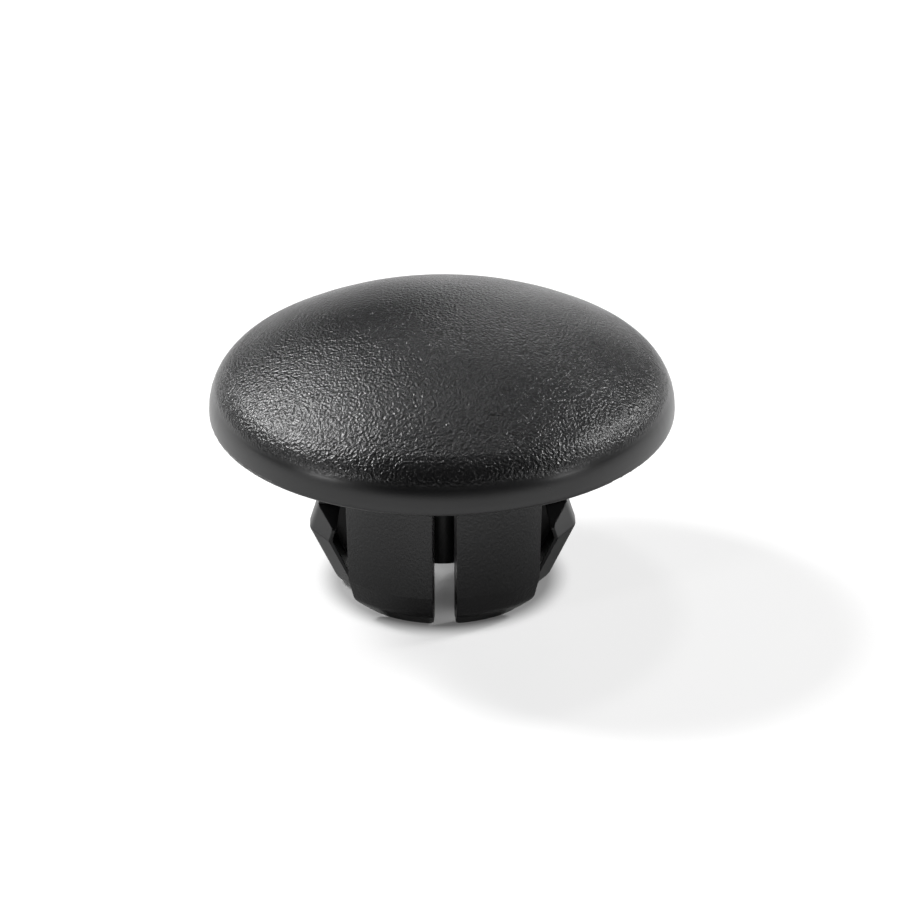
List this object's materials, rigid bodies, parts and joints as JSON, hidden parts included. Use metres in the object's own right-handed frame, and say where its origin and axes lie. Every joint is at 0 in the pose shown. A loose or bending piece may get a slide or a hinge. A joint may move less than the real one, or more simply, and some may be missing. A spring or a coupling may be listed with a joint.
{
  "type": "hole plug",
  "caption": "Round crowned plastic plug with a split, barbed shank that snaps into a round panel hole and closes it.",
  "frame": {"origin": "on the axis of the plug, in the plane of the shank's tip on which it stands", "axes": "+Z along the plug's axis, out through the crown; a middle slot of the shank faces -Y and another +Y; the snap fingers are on the X axis"},
  "size_m": [0.018, 0.018, 0.0115],
  "materials": {
    "body": "near-black moulded plastic, fine leather grain on the crown and the shank walls, plain edge band and snap fingers"
  },
  "bodies": {
    "root": {"hole_plug": "body"}
  },
  "joints": []
}
